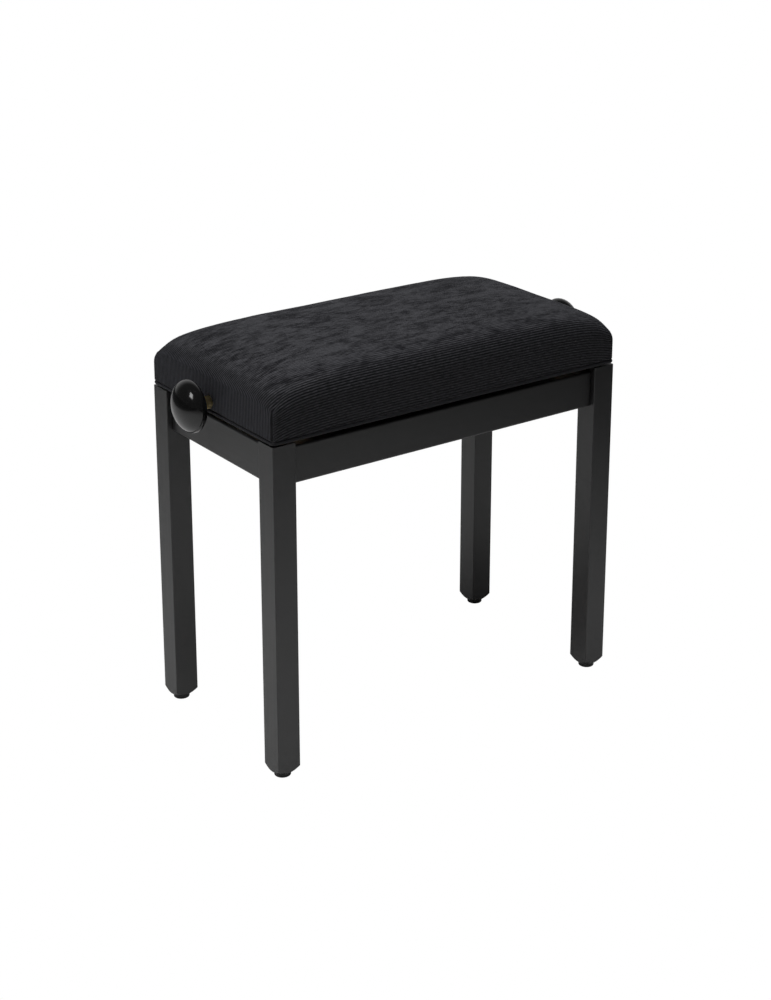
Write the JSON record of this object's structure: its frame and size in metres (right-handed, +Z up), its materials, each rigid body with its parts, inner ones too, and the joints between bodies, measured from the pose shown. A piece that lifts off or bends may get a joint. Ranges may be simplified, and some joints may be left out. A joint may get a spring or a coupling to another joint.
{
  "type": "piano bench",
  "caption": "Height-adjustable piano bench: painted wooden frame, scissor lift turned by side knobs, crowned seat in ribbed velvet.",
  "frame": {"origin": "on the floor under the middle of the bench, with the seat at its lowest", "axes": "+X along the long side towards the right-hand knob, -Y is the front, +Z up"},
  "size_m": [0.624, 0.282, 0.518],
  "materials": {
    "satin_black_paint": "satin black lacquer on beech",
    "stained_beech": "black stained, unlacquered",
    "plywood": "birch plywood",
    "foam": "upholstery foam",
    "ribbed_velvet": "fine ribbed black velvet",
    "gloss_black_knob": "high gloss",
    "brass": "turned",
    "black_plastic": "matt moulded",
    "black_steel": "black powder coat",
    "zinc_steel": "zinc plated"
  },
  "bodies": {
    "base": {"apron_front": "satin_black_paint", "apron_left": "satin_black_paint", "apron_rear": "satin_black_paint", "apron_right": "satin_black_paint", "base_channel_front": "black_steel", "base_channel_rear": "black_steel", "base_channel_screws": "zinc_steel", "base_pivot_clips": "zinc_steel", "base_pivot_rod": "zinc_steel", "corner_block_front_left": "satin_black_paint", "corner_block_front_right": "satin_black_paint", "corner_block_rear_left": "satin_black_paint", "corner_block_rear_right": "satin_black_paint", "corner_bolts": "zinc_steel", "corner_nuts": "zinc_steel", "corner_washers": "zinc_steel", "foot_glide_front_left": "black_plastic", "foot_glide_front_right": "black_plastic", "foot_glide_rear_left": "black_plastic", "foot_glide_rear_right": "black_plastic", "leg_front_left": "satin_black_paint", "leg_front_right": "satin_black_paint", "leg_rear_left": "satin_black_paint", "leg_rear_right": "satin_black_paint"},
    "seat": {"seat_board": "plywood", "seat_channel_front": "black_steel", "seat_channel_rear": "black_steel", "seat_channel_screws": "zinc_steel", "seat_cover": "ribbed_velvet", "seat_foam": "foam", "seat_frame_screws": "zinc_steel", "seat_piping": "ribbed_velvet", "seat_pivot_clips": "zinc_steel", "seat_pivot_rod": "zinc_steel", "seat_rail_front": "stained_beech", "seat_rail_left": "stained_beech", "seat_rail_rear": "stained_beech", "seat_rail_right": "stained_beech", "spindle_bush_left": "brass", "spindle_bush_right": "brass"},
    "spindle_and_knobs": {"knob_left": "gloss_black_knob", "knob_right": "gloss_black_knob", "spindle": "zinc_steel", "spindle_collar_left": "brass", "spindle_collar_right": "brass"},
    "nut": {"spindle_nut": "zinc_steel"},
    "inner_arms": {"arm_centre_pin_front": "zinc_steel", "arm_centre_pin_rear": "zinc_steel", "lift_arm_inner_front": "black_steel", "lift_arm_inner_rear": "black_steel", "seat_slide_clips": "zinc_steel", "seat_slide_rod": "zinc_steel"},
    "outer_arms": {"base_slide_clips": "zinc_steel", "base_slide_rod": "zinc_steel", "lift_arm_outer_front": "black_steel", "lift_arm_outer_rear": "black_steel"}
  },
  "joints": [
    {"name": "seat_lift", "type": "slide", "parent": "base", "child": "seat", "axis": [0, 0, 1], "range_m": [0, 0.09]},
    {"name": "knob_turn", "type": "hinge", "parent": "seat", "child": "spindle_and_knobs", "pos_m": [0, 0, 0.4555], "axis": [1, 0, 0], "range_deg": [0, 3308.2]},
    {"name": "nut_travel", "type": "slide", "parent": "seat", "child": "nut", "axis": [-1, 0, 0], "range_m": [0, 0.02758]},
    {"name": "inner_arms_swing", "type": "hinge", "parent": "base", "child": "inner_arms", "pos_m": [-0.14854, 0, 0.40075], "axis": [0, -1, 0], "range_deg": [0, 18.07]},
    {"name": "outer_arms_swing", "type": "hinge", "parent": "seat", "child": "outer_arms", "pos_m": [-0.14854, 0, 0.4425], "axis": [0, 1, 0], "range_deg": [0, 18.07]}
  ],
  "couplings": [
    {"joint": "knob_turn", "follows": "seat_lift", "rad_per_m": 641.34},
    {"joint": "nut_travel", "follows": "seat_lift", "ratio": 0.30622},
    {"joint": "inner_arms_swing", "follows": "seat_lift", "rad_per_m": 3.5006},
    {"joint": "outer_arms_swing", "follows": "seat_lift", "rad_per_m": 3.5006}
  ]
}
